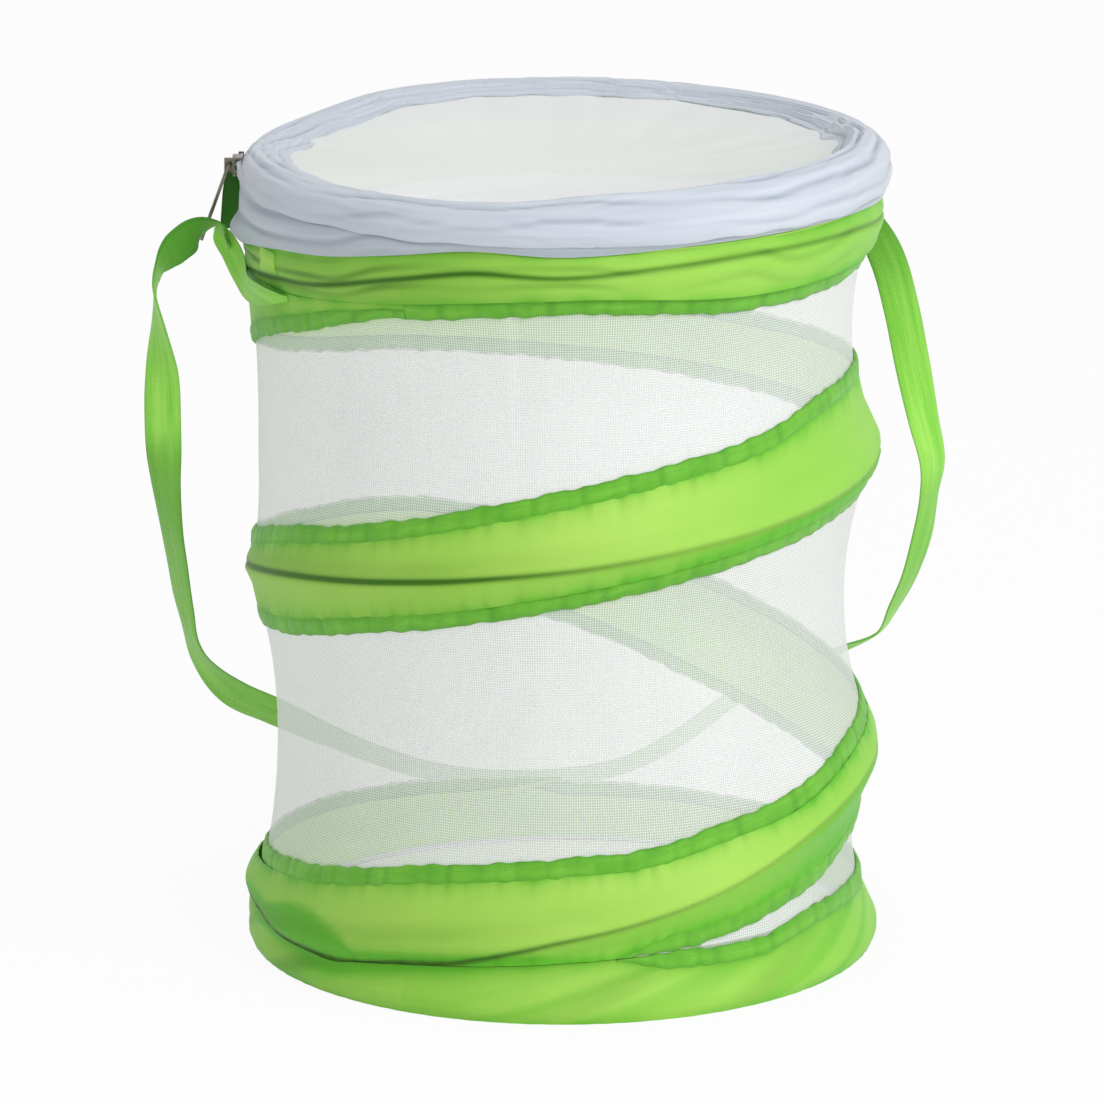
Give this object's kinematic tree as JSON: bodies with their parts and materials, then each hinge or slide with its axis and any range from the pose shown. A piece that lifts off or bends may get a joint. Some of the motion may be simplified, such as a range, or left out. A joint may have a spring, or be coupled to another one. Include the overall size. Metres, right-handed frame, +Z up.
{
  "type": "insect cage",
  "caption": "Collapsible round net insect cage: sprung rings and a wire helix in cloth casings, a zipped net lid and a webbing carrying strap.",
  "frame": {"origin": "centre of the floor cloth's underside, on the surface that the cage stands on", "axes": "+Z up along the cage's middle line; +Y towards the back, where the lid's fold is and where the strap hangs; +X towards the right-hand strap patch, seen from the front"},
  "size_m": [0.4066, 0.3218, 0.39],
  "materials": {
    "casing_cloth": "satin",
    "binding_cloth": "satin",
    "net": "matte",
    "white_cloth": "satin",
    "strap_webbing": "satin",
    "tab_cloth": "satin",
    "zip_coil": "satin",
    "zip_metal": "satin",
    "spring_steel": "satin"
  },
  "bodies": {
    "base": {"bottom_ring_wire": "spring_steel", "bottom_ferrule": "spring_steel", "bottom_band": "casing_cloth", "bottom_lining": "casing_cloth", "bottom_binding": "binding_cloth", "floor_panel": "net", "floor_hem": "white_cloth", "helix_wire": "spring_steel", "helix_band": "casing_cloth", "helix_lining": "casing_cloth", "helix_upper_binding": "binding_cloth", "helix_lower_binding": "binding_cloth", "wall_net": "net"},
    "top": {"top_ring_wire": "spring_steel", "top_ferrule": "spring_steel", "top_band": "casing_cloth", "top_lining": "casing_cloth", "top_binding": "binding_cloth", "zip_tape_lower": "white_cloth", "zip_tape_rear": "white_cloth", "zip_teeth_lower": "zip_coil", "zip_teeth_rear_left": "zip_coil", "zip_teeth_rear_right": "zip_coil", "zip_stop_left": "zip_metal", "zip_stop_right": "zip_metal", "zip_end_tab": "tab_cloth", "lid_rear_net": "net", "lid_rear_hem": "white_cloth", "strap_patch_left": "strap_webbing", "strap_patch_right": "strap_webbing"},
    "lid": {"lid_net": "net", "lid_hem": "white_cloth", "zip_tape_upper": "white_cloth", "zip_teeth_upper": "zip_coil"},
    "slider": {"zip_slider": "zip_metal"},
    "pull": {"zip_pull": "zip_metal"},
    "strap": {"strap": "strap_webbing"}
  },
  "joints": [
    {"name": "collapse", "type": "slide", "parent": "base", "child": "top", "axis": [0, 0, 1], "range_m": [-0.295, 0], "stiffness_N_per_m": 30, "springref_m": 0.1, "deforming": ["helix_wire", "helix_band", "helix_lining", "helix_upper_binding", "helix_lower_binding", "wall_net", "strap"]},
    {"name": "lid_hinge", "type": "hinge", "parent": "top", "child": "lid", "pos_m": [0, 0.0513, 0.3915], "axis": [-1, 0, 0], "range_deg": [0, 135]},
    {"name": "zip_slide", "type": "hinge", "parent": "top", "child": "slider", "pos_m": [0, 0, 0.38], "axis": [0, 0, 1], "range_deg": [0, 229]},
    {"name": "pull_swing", "type": "hinge", "parent": "slider", "child": "pull", "pos_m": [-0.1445, 0.06585, 0.38], "axis": [0.4147, 0.91, 0], "range_deg": [0, 130]},
    {"name": "strap_swing", "type": "hinge", "parent": "top", "child": "strap", "pos_m": [0, 0, 0.356], "axis": [1, 0, 0], "range_deg": [0, 150]}
  ]
}
